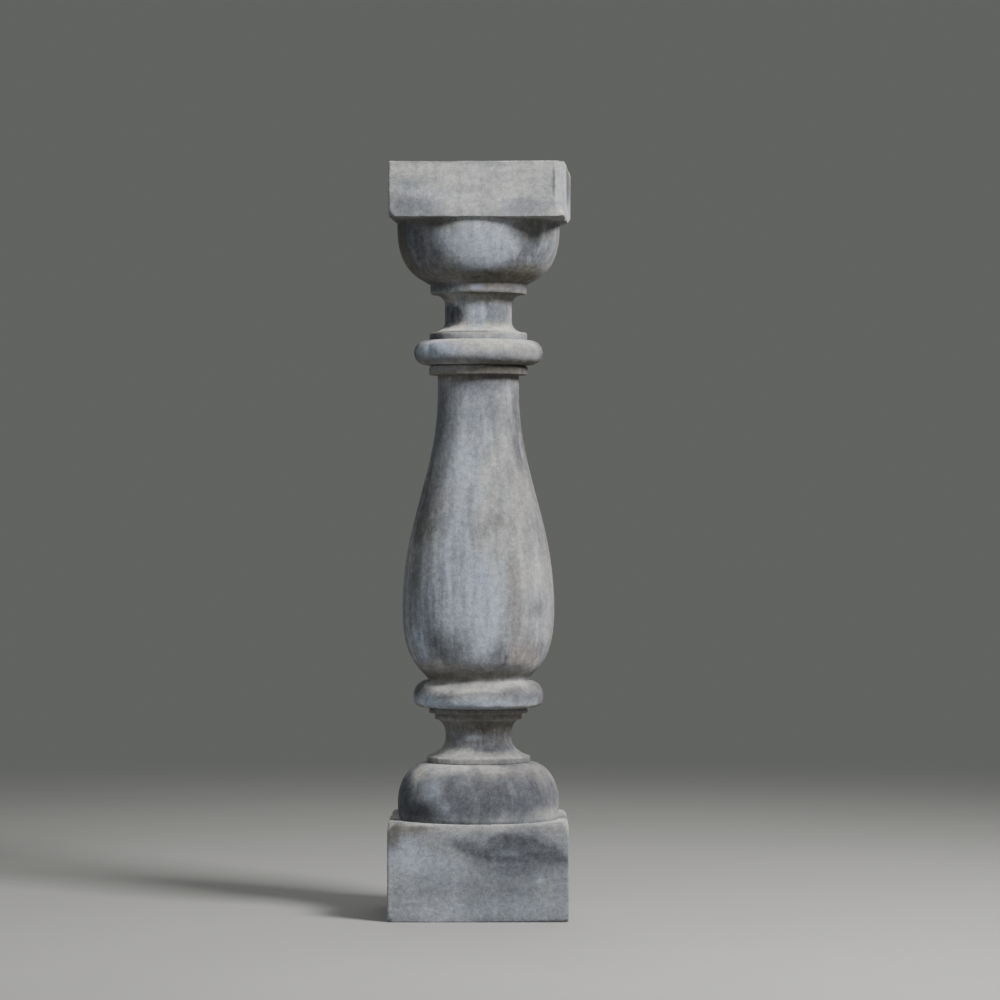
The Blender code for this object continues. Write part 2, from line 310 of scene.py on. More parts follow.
def upper_ring(base):
    """The astragal, the recess, the upper ring and the band on it."""
    astragal, height = band(base, *ASTRAGAL)
    top = height + RECESS[1]
    recess = line((RECESS[0], height), (RECESS[0], top))
    half = UPPER_RING_HEIGHT / 2
    ring = arc(UPPER_RING_RADIUS - half, top + half, half, half, -math.pi / 2, math.pi / 2)
    seat, height = band(top + UPPER_RING_HEIGHT, *UPPER_RING_SEAT)
    return [astragal, recess, ring, seat], height


def upper_neck(base):
    """The upper neck and its two hollows."""
    foot, height = hollow(base, NECK_FOOT[0], UPPER_NECK[0], NECK_FOOT[1])
    neck = line((UPPER_NECK[0], height), (UPPER_NECK[0], height + UPPER_NECK[1]))
    head, top = hollow(height + UPPER_NECK[1], UPPER_NECK[0], NECK_HEAD[0], NECK_HEAD[1])
    return [foot, neck, head], top


def bowl(base):
    """The bowl on its seat, up to the underside of the head."""
    height = base + BOWL_SEAT[1]
    seat = line((BOWL_SEAT[0], base), (BOWL_SEAT[0], height))
    foot = (BOWL_FOOT_RADIUS, height)
    lip = foot[1] + BOWL_RISE
    handle = (foot[0] + BOWL_FOOT_PULL[0], foot[1] + BOWL_FOOT_PULL[1])
    side = bezier(foot, handle, (BOWL_LIP_RADIUS, lip - BOWL_LIP_PULL),
                  (BOWL_LIP_RADIUS, lip))
    rim = line((BOWL_LIP_RADIUS, lip), (BOWL_LIP_RADIUS, lip + BOWL_LIP_HEIGHT))
    return [seat, side, rim], lip + BOWL_LIP_HEIGHT


def turned_profile():
    """All the turned rows, with the heights of the lower ring's top and the head's
    underside. Rows that repeat a point are left out."""
    height = low.z + PLINTH_HEIGHT - PLINTH_DIP
    runs = []
    tops = {}
    for moulding in (cushion, scotia, lower_ring, shaft, upper_ring, upper_neck, bowl):
        rows, height = moulding(height)
        runs += rows
        tops[moulding.__name__] = height
    rows = np.vstack(runs)
    gap = np.linalg.norm(np.diff(rows, axis=0), axis=1)
    kept = np.concatenate(([True], gap > 0.05 * MM))
    return rows[kept], tops


# Rings of points

COLUMN = np.arange(COLUMNS)
COLUMN_SIDE = COLUMN // SIDE_COLUMNS
COLUMN_SHARE = (COLUMN % SIDE_COLUMNS) / SIDE_COLUMNS * 2 - 1
COLUMN_ANGLE = -math.pi / 4 + 2 * math.pi * COLUMN / COLUMNS
SIDE_TURN = COLUMN_SIDE * math.pi / 2


def round_ring(radius):
    """Points around a circle, the first at the front right."""
    return radius * np.column_stack((np.cos(COLUMN_ANGLE), np.sin(COLUMN_ANGLE)))


def square_ring(half, rounding):
    """Points around a square, the first at the front right corner. rounding is the
    radius of each corner: front right, back right, back left and front left."""
    crowded = np.sin(COLUMN_SHARE * math.pi / 2)
    along = half * ((1 - CORNER_CROWDING) * COLUMN_SHARE + CORNER_CROWDING * crowded)
    nearest = (COLUMN_SIDE + (COLUMN_SHARE > 0)) % 4
    radius = np.asarray(rounding)[nearest]
    across = np.full(COLUMNS, half)
    inner = half - radius
    in_corner = np.abs(along) > inner
    reach = np.abs(along) - inner
    length = np.hypot(reach, radius)
    across = np.where(in_corner, inner + radius * radius / length, across)
    along = np.where(in_corner, np.sign(along) * (inner + radius * reach / length), along)
    cosine, sine = np.cos(SIDE_TURN), np.sin(SIDE_TURN)
    return np.column_stack((across * cosine - along * sine, across * sine + along * cosine))


def with_height(ring, height):
    """Adds a height, or a height for each point, to a ring."""
    return np.column_stack((ring, np.broadcast_to(height, COLUMNS)))


def edge_noise(height, seed, size=14 * MM):
    """One value for each of the four corners at a height, for the wear of an arris."""
    return np.array([noise.noise(Vector((seed + 5.3 * corner, height / size, 0.7)))
                     for corner in range(4)])


def column_noise(seed, size=9 * MM):
    """A value for each column, smooth around a die of about the plinth's size."""
    ring = with_height(round_ring(PLINTH_HALF), 0.0)
    return noise_field(ring, size, 2, seed)


def plinth_rings():
    """The plinth die, from the middle of its underside to the foot of the cushion."""
    top = low.z + PLINTH_HEIGHT
    arris = [PLINTH_ARRIS] * 4
    foot_wear = FOOT_ARRIS * (1 + 0.8 * np.abs(column_noise(3)))
    foot_wear += foot_lift(square_ring(PLINTH_HALF, arris))
    rings = []
    for share in (0.12, 0.55, 0.85, 0.95):
        rings.append(with_height(square_ring(PLINTH_HALF * share, arris), low.z))
    for angle in np.linspace(-math.pi / 2, 0, EDGE_STEPS):
        inset = foot_wear * (1 - math.cos(angle))
        ring = square_ring(PLINTH_HALF, arris) * (1 - inset / PLINTH_HALF)[:, None]
        rings.append(with_height(ring, low.z + foot_wear * (1 + math.sin(angle))))
    for height in np.arange(low.z + 4 * MM, top - 8 * MM, ROW_SPACING):
        rounding = PLINTH_ARRIS * (1 + 0.7 * edge_noise(height, 11))
        rings.append(with_height(square_ring(PLINTH_HALF, rounding), height))
    return rings + plinth_top_rings(top)


def foot_lift(ring):
    """How far the bottom edge is worn up along the front, most at its right end."""
    front = smoothstep(0.9, 0.99, -ring[:, 1] / PLINTH_HALF)
    rightward = smoothstep(-45 * MM, 70 * MM, ring[:, 0])
    return FOOT_LIFT * front * rightward ** 2


def dipped_top(ring, top):
    """The height of the plinth's turned top, which is lowest beside the cushion."""
    outward = (np.linalg.norm(ring, axis=1) - PLINTH_HALF) / (PLINTH_HALF * 0.414)
    return top - PLINTH_DIP * (1 - np.clip(outward, 0, 1))


def plinth_top_rings(top):
    """The worn upper arris of the plinth and its top, in to the cushion."""
    rings = []
    outer = square_ring(PLINTH_HALF, [PLINTH_CORNER_WEAR] * 4)
    cornerness = smoothstep(1.0, 1.36, np.linalg.norm(outer, axis=1) / PLINTH_HALF)
    wear = PLINTH_ARRIS * (1 + 0.9 * column_noise(5)) + PLINTH_CORNER_WEAR * cornerness
    for angle in np.linspace(0, math.pi / 2, EDGE_STEPS + 1):
        inset = wear * (1 - math.cos(angle)) / PLINTH_HALF
        ring = outer * (1 - inset)[:, None]
        rings.append(with_height(ring, dipped_top(ring, top) - wear * (1 - math.sin(angle))))
    edge = rings[-1][:, :2]
    seat = round_ring(CUSHION_SEAT_RADIUS + QUIRK_WIDTH)
    for share in np.linspace(0, 1, 9)[1:]:
        ring = edge * (1 - share) + seat * share
        rings.append(with_height(ring, dipped_top(ring, top)))
    groove = QUIRK_DEPTH * quirk_share()
    ring = round_ring(CUSHION_SEAT_RADIUS - groove[:, None])
    rings.append(with_height(ring, dipped_top(ring, top) - 0.5 * groove))
    return rings


def quirk_share():
    """How deep the crack under the cushion is around it: deepest at the front."""
    azimuth = np.degrees(COLUMN_ANGLE) + 90
    azimuth = (azimuth + 180) % 360 - 180
    front = 1 - smoothstep(12, 40, np.abs(azimuth - 3))
    return np.clip(0.35 + 0.5 * column_noise(7, 16 * MM) + 0.6 * front, 0, 1)


def place(ring):
    """A ring of the head, turned and moved aside as the head is."""
    turn = np.array(Matrix.Rotation(HEAD_TURN, 2)).T
    return ring @ turn + (HEAD_OFFSET, 0)


def head_rings(base, lip):
    """The head die, from the bowl's lip to the middle of its top."""
    top = high.z
    square = square_ring(HEAD_HALF, [HEAD_ARRIS] * 4)
    foot_wear = HEAD_ARRIS * (0.8 + 0.9 * np.abs(column_noise(13)))
    crown_wear = HEAD_ARRIS * (1.1 + 1.2 * np.abs(column_noise(17)))
    rings = []
    inner = place(square * (1 - foot_wear / HEAD_HALF)[:, None])
    for share in np.linspace(0, 1, 9)[1:-1]:
        rings.append(with_height(lip * (1 - share) + inner * share, base))
    for angle in np.linspace(-math.pi / 2, 0, EDGE_STEPS):
        scale = 1 - foot_wear * (1 - math.cos(angle)) / HEAD_HALF
        rings.append(with_height(place(square * scale[:, None]),
                                 base + foot_wear * (1 + math.sin(angle))))
    for height in np.arange(base + 4.5 * MM, top - 4 * MM, ROW_SPACING * 0.8):
        rounding = HEAD_ARRIS * (1.1 + 0.8 * edge_noise(height, 23))
        rings.append(with_height(place(square_ring(HEAD_HALF, rounding)), height))
    for angle in np.linspace(0, math.pi / 2, EDGE_STEPS):
        scale = 1 - crown_wear * (1 - math.cos(angle)) / HEAD_HALF
        rings.append(with_height(place(square * scale[:, None]),
                                 top - crown_wear * (1 - math.sin(angle))))
    for share in (0.955, 0.92, 0.87, 0.8, 0.7, 0.58, 0.44, 0.28, 0.12):
        rings.append(with_height(place(square * share), top))
    return rings


def all_rings():
    """Every ring of the skin as one array of rows, columns and coordinates."""
    profile, tops = turned_profile()
    turned = [with_height(round_ring(radius), height) for radius, height in profile]
    bevel_lower_ring(turned, tops["lower_ring"])
    head_base = tops["bowl"]
    rings = plinth_rings() + turned + head_rings(head_base, turned[-1][:, :2])
    return np.array(rings), tops


def bevel_lower_ring(rings, top):
    """Cuts the lower ring's rounded upper edge down to the broken bevel."""
    azimuth = (np.degrees(COLUMN_ANGLE) + 270) % 360 - 180
    degrees, rise = np.array(BEVEL_FOOT).T
    foot = np.interp(azimuth, degrees, rise) * MM + BEVEL_WAVER * column_noise(19, 8 * MM)
    foot = np.clip(foot, BEVEL_LOWEST, LOWER_RING_TOP)
    reach = LOWER_RING_RADIUS - SHAFT_FOOT_RADIUS
    width = reach * np.sqrt(1 - (foot / LOWER_RING_TOP) ** 2) + 0.01 * MM
    for ring in rings:
        height = ring[:, 2] - top
        outward = np.linalg.norm(ring[:, :2], axis=1) - SHAFT_FOOT_RADIUS
        on_edge = (height > -LOWER_RING_TOP) & (height < 0)
        bevel = -outward * (LOWER_RING_TOP - foot) / width
        ring[:, 2] = np.where(on_edge, top + np.minimum(height, bevel), ring[:, 2])


# Wear on the finished grid

def grid_normals(grid):
    """The outward direction at each point of the grid."""
    around = np.roll(grid, -1, axis=1) - np.roll(grid, 1, axis=1)
    upwards = np.gradient(grid, axis=0)
    normals = np.cross(around, upwards)
    return normals / np.maximum(np.linalg.norm(normals, axis=2, keepdims=True), 1e-12)


def smoothed(grid, rounds):
    """The grid after each point has moved to its neighbours' middle a few times."""
    for _ in range(rounds):
        middle = (np.roll(grid, 1, axis=1) + np.roll(grid, -1, axis=1)) / 4
        middle[1:-1] += (grid[:-2] + grid[2:]) / 4
        middle[0] += grid[0] / 2
        middle[-1] += grid[-1] / 2
        grid = middle
    return grid


def bulge(grid, normals, rounds):
    """How far each point stands out of its smoothed surroundings, in millimetres: positive
    on edges and negative in hollows."""
    return ((grid - smoothed(grid, rounds)) * normals).sum(axis=2) / MM


def cut_flat(grid, centre, facing, reach):
    """Breaks off what lies beyond a plane, near one point."""
    facing = np.array(facing) / np.linalg.norm(facing)
    offset = grid - np.array(centre)
    beyond = np.maximum(offset @ facing, 0)
    near = 1 - smoothstep(0.8, 1.0, np.linalg.norm(offset, axis=2) / reach)
    grid -= (beyond * near)[..., None] * facing


def flake_arris(grid, head_base):
    """Breaks the flake off the head's front right arris, and cuts the crack beside it."""
    across = np.array((math.cos(HEAD_TURN), math.sin(HEAD_TURN)))
    back = np.array((-math.sin(HEAD_TURN), math.cos(HEAD_TURN)))
    local = grid[..., :2] - (HEAD_OFFSET, 0)
    local_x, local_y = local @ across, local @ back
    rise = grid[..., 2] - head_base
    front = FLAKE_FRONT + FLAKE_TOP_FLARE * smoothstep(0.85, 1.0, rise / (high.z - head_base))
    length = np.hypot(front, FLAKE_SIDE)
    beyond = (local_x - HEAD_HALF) * FLAKE_SIDE - (local_y + HEAD_HALF - FLAKE_SIDE) * front
    beyond = beyond / length + FLAKE_WAVER * noise_field(grid, 13 * MM, 3, 31)
    beyond = np.maximum(beyond, 0) * smoothstep(0.4 * FLAKE_FOOT, 1.6 * FLAKE_FOOT, rise)
    inward = (across * FLAKE_SIDE - back * FLAKE_FRONT) / math.hypot(FLAKE_SIDE, FLAKE_FRONT)
    grid[..., :2] -= beyond[..., None] * inward
    crack = np.exp(-((local_x - HEAD_HALF + FLAKE_FRONT + CRACK_WIDTH / 2) / CRACK_WIDTH) ** 2)
    crack *= smoothstep(CRACK_FOOT - 3 * MM, CRACK_FOOT + 3 * MM, rise)
    crack *= 1 - smoothstep(CRACK_HEAD - 3 * MM, CRACK_HEAD + 1 * MM, rise)
    crack *= smoothstep(2 * MM - HEAD_HALF, 1 * MM - HEAD_HALF, local_y)
    grid[..., :2] += (CRACK_DEPTH * crack)[..., None] * back


def chip_front(grid, head_base):
    """The chips that the front shows, and the long break under the head's right side."""
    top = low.z + PLINTH_HEIGHT
    left, right, front = -PLINTH_HALF, PLINTH_HALF, -PLINTH_HALF
    head_left = -HEAD_HALF + HEAD_OFFSET
    cut_flat(grid, (right - 1.5 * MM, front + 2 * MM, low.z + 1.5 * MM), (1, -1, -1.2), 9 * MM)
    cut_flat(grid, (left + 1.5 * MM, front + 1.5 * MM, low.z + 1 * MM), (-1, -1, -1), 6 * MM)
    cut_flat(grid, (head_left - 1.6 * MM, -67.2 * MM, head_base + 2 * MM), (-1, -1, -0.9), 7 * MM)
    head = grid[np.argmax(grid[:, 0, 2] > head_base - 0.1 * MM):]
    cut_flat(head, (*BREAK_END, head_base + BREAK_RISE), BREAK_FACING, BREAK_REACH)
    cut_flat(grid, (left + 1.2 * MM, front + 1.2 * MM, top - 8 * MM), (-1, -1, 0.2), 10 * MM)


def chip_arrises(grid, head_base):
    """Small chips along the arrises of the plinth and the head."""
    plinth_ends = (low.z, low.z + PLINTH_HEIGHT)
    rng = np.random.default_rng(CHIP_SEED)
    for _ in range(CHIP_COUNT):
        on_plinth = rng.random() < ON_PLINTH
        half, ends = (PLINTH_HALF, plinth_ends) if on_plinth else (HEAD_HALF, (head_base, high.z))
        height = level_arris(rng, on_plinth, head_base)
        side, along = rng.integers(4), rng.uniform(-1, 1)
        facing = [1.0, 0.0, 1.0]
        if rng.random() < ON_UPRIGHT:
            along = math.copysign(1, along)
            height = rng.uniform(*ends)
            facing = [1.0, along, 0.0]
        elif height < sum(plinth_ends) / 2:
            facing[2] = -1.0
        depth, reach = rng.uniform(*CHIP_DEPTH) * MM, rng.uniform(*CHIP_REACH) * MM
        turn = np.array(Matrix.Rotation(side * math.pi / 2, 3, "Z"))
        spot, facing = turn @ (half, along * half, height), turn @ facing
        spot -= facing / np.linalg.norm(facing) * depth
        cut_flat(grid, spot, facing, reach)


def level_arris(rng, on_plinth, head_base):
    """The height of one of a die's level arrises."""
    if on_plinth:
        return low.z + PLINTH_HEIGHT - 2 * MM if rng.random() < 0.7 else low.z
    return high.z if rng.random() < 0.6 else head_base


def weather(grid, tops):
    """Wears the edges unevenly and makes the faces a little uneven."""
    head_base = tops["bowl"]
    flake_arris(grid, head_base)
    chip_front(grid, head_base)
    chip_arrises(grid, head_base)
    normals = grid_normals(grid)
    sharpness = smoothstep(0.6, 1.4, bulge(grid, normals, 6))
    bite = np.clip(noise_field(grid, 11 * MM, 3, 43) + 0.1, 0, 1)
    swell = noise_field(grid, 55 * MM, 2, 47)
    tooling = noise_field(grid * (1, 1, 0.25), 9 * MM, 2, 53)
    grain = noise_field(grid, 5 * MM, 2, 59)
    pits = np.clip(noise_field(grid, 6 * MM, 2, 61) - 0.5, 0, 1)
    away = SWELL_RISE * swell + TOOLING_RISE * tooling + GRAIN_RISE * grain
    away -= EDGE_BITE * sharpness * bite + PIT_DEPTH * pits
    resting = smoothstep(low.z, low.z + 1.5 * MM, grid[..., 2])
    grid += (away * MM * resting)[..., None] * normals
    grid[..., 2] = np.maximum(grid[..., 2], low.z)


def stone_mesh(grid):
    """Joins the grid into one closed skin, with a fan at each end."""
    rows = len(grid)
    points = grid.reshape(-1, 3)
    centre_low, centre_high = grid[0].mean(axis=0), grid[-1].mean(axis=0)
    points = np.vstack((points, centre_low, centre_high))
    row, column = np.meshgrid(np.arange(rows - 1), COLUMN, indexing="ij")
    after = (column + 1) % COLUMNS
    corners = [row * COLUMNS + column, row * COLUMNS + after,
               (row + 1) * COLUMNS + after, (row + 1) * COLUMNS + column]
    quads = np.stack(corners, axis=-1).reshape(-1, 4).tolist()
    foot, crown = len(points) - 2, len(points) - 1
    last = (rows - 1) * COLUMNS
    following = np.roll(COLUMN, -1)
    fans = [(foot, b, a) for a, b in zip(COLUMN.tolist(), following.tolist())]
    fans += [(crown, last + a, last + b) for a, b in zip(COLUMN.tolist(), following.tolist())]
    mesh = bpy.data.meshes.new("baluster_stone")
    mesh.from_pydata(points.tolist(), [], quads + fans)
    mesh.shade_smooth()
    return mesh


# Stains and bloom, with some painted shade, shadow and highlights

# Each layer's colour, in the order in which they lie on the stone
# The slate and soil layers also paint shade and shadow, the frost layer also paints highlights,
# and the cream layer paints light in a few places.
LAYER_COLOURS = {
    "cream_and_light": (0.565, 0.55, 0.515, 1),
    "rosy": (0.26, 0.235, 0.22, 1),
    "blue": (0.198, 0.217, 0.25, 1),
    "slate_and_shade": (0.086, 0.088, 0.104, 1),
    "frost_and_highlight": (0.435, 0.49, 0.585, 1),
    "soil_and_shade": (0.105, 0.096, 0.073, 1),
}


class Patch(NamedTuple):
    """One soft patch. Round the turned parts, across is degrees from the front, growing to
    the right; on the front of a die it is millimetres to the right of the axis. up is
    millimetres from the floor."""

    layer: str
    across: float
    up: float
    half_across: float
    half_up: float
    strength: float
    soft: float = 0.5
    tilt: float = 0.0


HEAD_SIDE_PATCHES = (
    Patch("slate_and_shade", 94, 614, 33, 18, 0.90),
    Patch("soil_and_shade", 94, 620, 33, 14, 0.60),
    Patch("cream_and_light", 80, 588, 24, 8, 0.40),
)

BOWL_PATCHES = (
    # Painted shadow of the head's front right corner on the bowl.
    Patch("soil_and_shade", 44, 571, 20, 9, 0.60),
    # Painted shade, with some stain, down the bowl's shaded left side.
    Patch("soil_and_shade", -74, 560, 14, 30, 0.85),
    Patch("slate_and_shade", -68, 562, 26, 32, 0.70),
    Patch("slate_and_shade", -40, 558, 16, 22, 0.55),
    Patch("slate_and_shade", -42, 544, 24, 9, 0.20),
    # A pale patch on the bowl's front, partly painted light between the head's shadow and the
    # shaded left side.
    Patch("frost_and_highlight", 2, 560, 27, 20, 0.54, 0.22),
    Patch("blue", 8, 559, 12, 9, 0.40, 0.8),
    Patch("blue", 50, 556, 18, 14, 0.80),
    Patch("blue", 24, 541, 50, 6, 0.70),
    Patch("slate_and_shade", 50, 550, 30, 15, 0.62),
    # Painted shadow of the head on the bowl's right edge.
    Patch("slate_and_shade", 72, 568, 14, 18, 0.35),
    Patch("soil_and_shade", -26, 578, 14, 4, 0.60),
    # Painted shadow of the head on the bowl.
    Patch("slate_and_shade", 30, 557, 9, 14, 0.50),
    Patch("soil_and_shade", 50, 538, 24, 7, 0.75),
    Patch("rosy", -44, 537, 38, 7, 0.60),
    Patch("soil_and_shade", 30, 534, 40, 6, 0.85),
    Patch("soil_and_shade", -8, 533, 16, 4, 0.15),
    Patch("slate_and_shade", -60, 527, 34, 4, 0.80),
    Patch("cream_and_light", -52, 540, 26, 5, 0.40),
    Patch("rosy", 34, 527, 44, 4, 0.95),
    Patch("slate_and_shade", 60, 527, 34, 4, 0.75),
    Patch("soil_and_shade", 26, 521.5, 50, 2.2, 0.85, 0.4),
    # A painted highlight on the bowl's seat.
    Patch("frost_and_highlight", -2, 526, 8, 3, 0.90),
)

UPPER_NECK_PATCHES = (
    # Painted light in the hollow under the bowl's seat.
    Patch("cream_and_light", -4, 516, 80, 5, 0.85),
    Patch("rosy", 72, 517, 40, 5, 0.70),
    # Painted shade, with some stain, on the neck's shaded left side.
    Patch("slate_and_shade", -60, 502.5, 38, 10, 0.95, 0.12),
    # Painted light in the hollow under the bowl's seat.
    Patch("frost_and_highlight", -28, 516, 20, 5, 0.55),
    Patch("frost_and_highlight", -2, 503, 15, 12, 0.80, 0.3),
    Patch("blue", 36, 506, 28, 10, 0.75),
    Patch("slate_and_shade", 14, 507, 5, 9, 0.45),
    Patch("slate_and_shade", 46, 507, 20, 10, 0.50),
    Patch("cream_and_light", 8, 492, 80, 5, 0.80),
    Patch("soil_and_shade", -30, 489, 60, 0.9, 0.80, 0.4),
)

UPPER_RING_PATCHES = (
    # Painted shade on the shaded left end of the ring and its band.
    Patch("slate_and_shade", -66, 484, 20, 4, 0.80),
    Patch("slate_and_shade", -84, 473, 14, 9, 0.85),
    # A painted highlight on the ring's upper left.
    Patch("frost_and_highlight", -42, 474, 26, 6, 0.95),
    # Painted shade on the ring's underside.
    Patch("slate_and_shade", 10, 465, 70, 3, 0.40),
    Patch("soil_and_shade", 44, 461, 44, 4, 0.50, 0.4),
    Patch("rosy", 0, 457, 180, 3, 0.55, 0.3),
    Patch("rosy", 60, 469, 26, 8, 0.45),
    Patch("cream_and_light", 20, 476, 50, 4, 0.60),
    Patch("slate_and_shade", 86, 470, 14, 12, 0.60),
    Patch("soil_and_shade", 8, 456, 26, 2.5, 0.60, 0.4),
    Patch("rosy", 0, 452, 120, 4, 0.95),
    # Painted shadow of the ring on the astragal.
    Patch("slate_and_shade", 56, 455, 48, 7, 0.85),
    Patch("soil_and_shade", 40, 456, 44, 4, 0.85),
)

# The slate patches between -46 and -74 degrees paint the shaded left side, with some stain.
SHAFT_PATCHES = (
    Patch("slate_and_shade", -56, 438, 26, 12, 0.35),
    Patch("slate_and_shade", 16, 446, 50, 6, 0.50),
    Patch("slate_and_shade", -6, 441, 16, 7, 0.55),
    Patch("slate_and_shade", -66, 416, 24, 22, 0.30),
    Patch("blue", 24, 414, 5, 26, 0.55),
    Patch("slate_and_shade", 74, 405, 30, 44, 0.60),
    Patch("rosy", 62, 372, 30, 56, 0.55),
    Patch("blue", 34, 352, 10, 30, 0.30),
    Patch("frost_and_highlight", -8, 406, 26, 30, 0.42),
    Patch("slate_and_shade", -70, 396, 18, 30, 0.35),
    Patch("blue", -42, 400, 14, 40, 0.55),
    Patch("slate_and_shade", -74, 348, 18, 34, 0.65),
    Patch("slate_and_shade", -46, 345, 16, 30, 0.55),
    Patch("soil_and_shade", -56, 325, 12, 11, 0.45),
    Patch("frost_and_highlight", -16, 358, 20, 36, 0.60),
    Patch("soil_and_shade", 17, 331, 7, 6, 0.35),
    Patch("soil_and_shade", 3, 323, 5, 4, 0.25),
    Patch("blue", -11, 325, 5, 9, 0.40),
    Patch("blue", -36, 318, 12, 26, 0.45),
    Patch("slate_and_shade", -64, 292, 20, 34, 0.38),
    Patch("blue", -52, 258, 22, 30, 0.30),
    Patch("slate_and_shade", -33, 256, 4, 26, 0.15),
    Patch("frost_and_highlight", -20, 297, 18, 24, 0.75),
    Patch("frost_and_highlight", -44, 262, 9, 30, 0.40),
    Patch("frost_and_highlight", -22, 264, 15, 36, 0.55),
    Patch("frost_and_highlight", 1, 259, 16, 46, 0.92),
    Patch("cream_and_light", 44, 300, 17, 48, 0.50),
    Patch("rosy", 30, 268, 8, 34, 0.45),
    Patch("blue", 50, 262, 14, 12, 0.50),
    Patch("slate_and_shade", 51, 257, 5, 7, 0.45),
    Patch("slate_and_shade", 58, 223, 8, 8, 0.60),
    Patch("blue", 62, 336, 8, 12, 0.45),
    Patch("slate_and_shade", 62, 404, 12, 20, 0.40),
    Patch("frost_and_highlight", -54, 226, 9, 14, 0.75),
    Patch("slate_and_shade", -27, 230, 13, 16, 0.58, 0.4),
    Patch("slate_and_shade", 6, 210, 18, 5, 0.25),
    Patch("slate_and_shade", 19, 222, 5, 13, 0.80, 0.35, 20),
    Patch("rosy", 44, 216, 26, 14, 0.80),
    Patch("slate_and_shade", 30, 208, 30, 4, 0.55),
    Patch("soil_and_shade", 10, 202, 90, 4, 0.50),
    Patch("rosy", -20, 204, 80, 8, 0.55),
    Patch("cream_and_light", -34, 208, 26, 6, 0.45),
)

LOWER_RING_STAINS = (
    Patch("blue", 0, 182, 120, 6, 0.25),
    Patch("slate_and_shade", -29, 183, 8, 7, 0.60),
    Patch("slate_and_shade", -76, 190, 16, 5, 0.80),
    Patch("slate_and_shade", 36, 184, 22, 7, 0.50),
    Patch("slate_and_shade", 62, 180, 14, 6, 0.35),
    Patch("slate_and_shade", 4, 187, 22, 2, 0.30),
    Patch("frost_and_highlight", 2, 180, 26, 6, 0.45),
    Patch("cream_and_light", 2, 180, 34, 7, 0.80),
    Patch("frost_and_highlight", -52, 179, 14, 6, 0.75),
    Patch("frost_and_highlight", -14, 178, 60, 4, 0.75),
    Patch("slate_and_shade", 58, 191, 24, 4, 0.35),
)

LOWER_NECK_PATCHES = (
    Patch("soil_and_shade", 20, 170, 110, 5, 0.35),
    Patch("rosy", -10, 170, 120, 6, 0.60),
    Patch("soil_and_shade", 16, 159, 100, 5, 0.80),
    # Painted shade on the flare's shaded left side.
    Patch("slate_and_shade", -62, 152, 30, 12, 0.35),
    Patch("slate_and_shade", 36, 143, 84, 4.2, 0.90),
    Patch("slate_and_shade", 30, 148, 56, 11, 0.65),
    Patch("slate_and_shade", 62, 150, 34, 12, 0.85),
    Patch("blue", -10, 149, 34, 9, 0.60),
    Patch("frost_and_highlight", -14, 149, 14, 3, 0.60, 0.5),
    Patch("frost_and_highlight", -36, 146, 8, 3, 0.45, 0.5),
    Patch("rosy", 0, 134, 110, 3, 0.35),
    Patch("slate_and_shade", 40, 129, 50, 3, 0.50),
    Patch("cream_and_light", -22, 131, 70, 4.5, 0.85),
)

CUSHION_STAINS = (
    Patch("blue", -20, 102, 90, 17, 0.75, 0.3),
    Patch("slate_and_shade", -76, 102, 22, 20, 0.90),
    Patch("slate_and_shade", -46, 89, 17, 8, 0.90),
    Patch("frost_and_highlight", -37, 106, 8, 9, 0.50),
    Patch("slate_and_shade", -28, 112, 20, 7, 0.30),
    Patch("frost_and_highlight", -23, 93, 4, 4, 0.50),
    Patch("slate_and_shade", -2, 101, 22, 16, 0.60),
    Patch("rosy", 30, 106, 60, 18, 0.75),
    Patch("slate_and_shade", 20, 95, 16, 8, 0.40),
    Patch("slate_and_shade", 50, 106, 40, 15, 0.60),
    Patch("rosy", 56, 123, 40, 6, 0.70),
    Patch("cream_and_light", 64, 86, 26, 5, 0.55),
    Patch("slate_and_shade", 45, 104, 7, 10, 0.50),
    Patch("rosy", -66, 122, 20, 5, 0.50),
)

HEAD_FACE_PATCHES = (
    Patch("slate_and_shade", -60, 611, 12, 4, 0.30, 0.7, -20),
    Patch("slate_and_shade", -52, 592, 20, 6, 0.42, 0.7, -16),
    Patch("frost_and_highlight", -42, 603, 24, 4, 0.35, 0.7, -12),
    Patch("slate_and_shade", 40, 592, 16, 5, 0.28, 0.7, 8),
    Patch("slate_and_shade", 42, 586, 22, 3, 0.22, 0.7),
    # Painted shade in the crack beside the flake.
    Patch("slate_and_shade", 62.3, 612, 1.5, 12, 0.75, 0.5),
    Patch("slate_and_shade", 60, 608, 6, 14, 0.25, 0.8),
    Patch("cream_and_light", 69, 604, 5, 26, 0.70, 0.4),
    Patch("cream_and_light", 62, 585, 9, 4, 0.60, 0.5),
    Patch("cream_and_light", 4, 606, 66, 26, 0.95, 0.8),
    Patch("frost_and_highlight", 4, 606, 60, 26, 0.22, 0.8),
    Patch("blue", -52, 591, 19, 9, 0.60),
    Patch("blue", -56, 609, 10, 6, 0.35),
    Patch("blue", -41, 613, 10, 6, 0.35),
    Patch("blue", 42, 590, 20, 7, 0.50),
    Patch("slate_and_shade", 15, 625, 12, 2, 0.35),
    Patch("cream_and_light", -44, 618, 36, 10, 0.85),
    Patch("cream_and_light", 48, 620, 26, 8, 0.60),
)

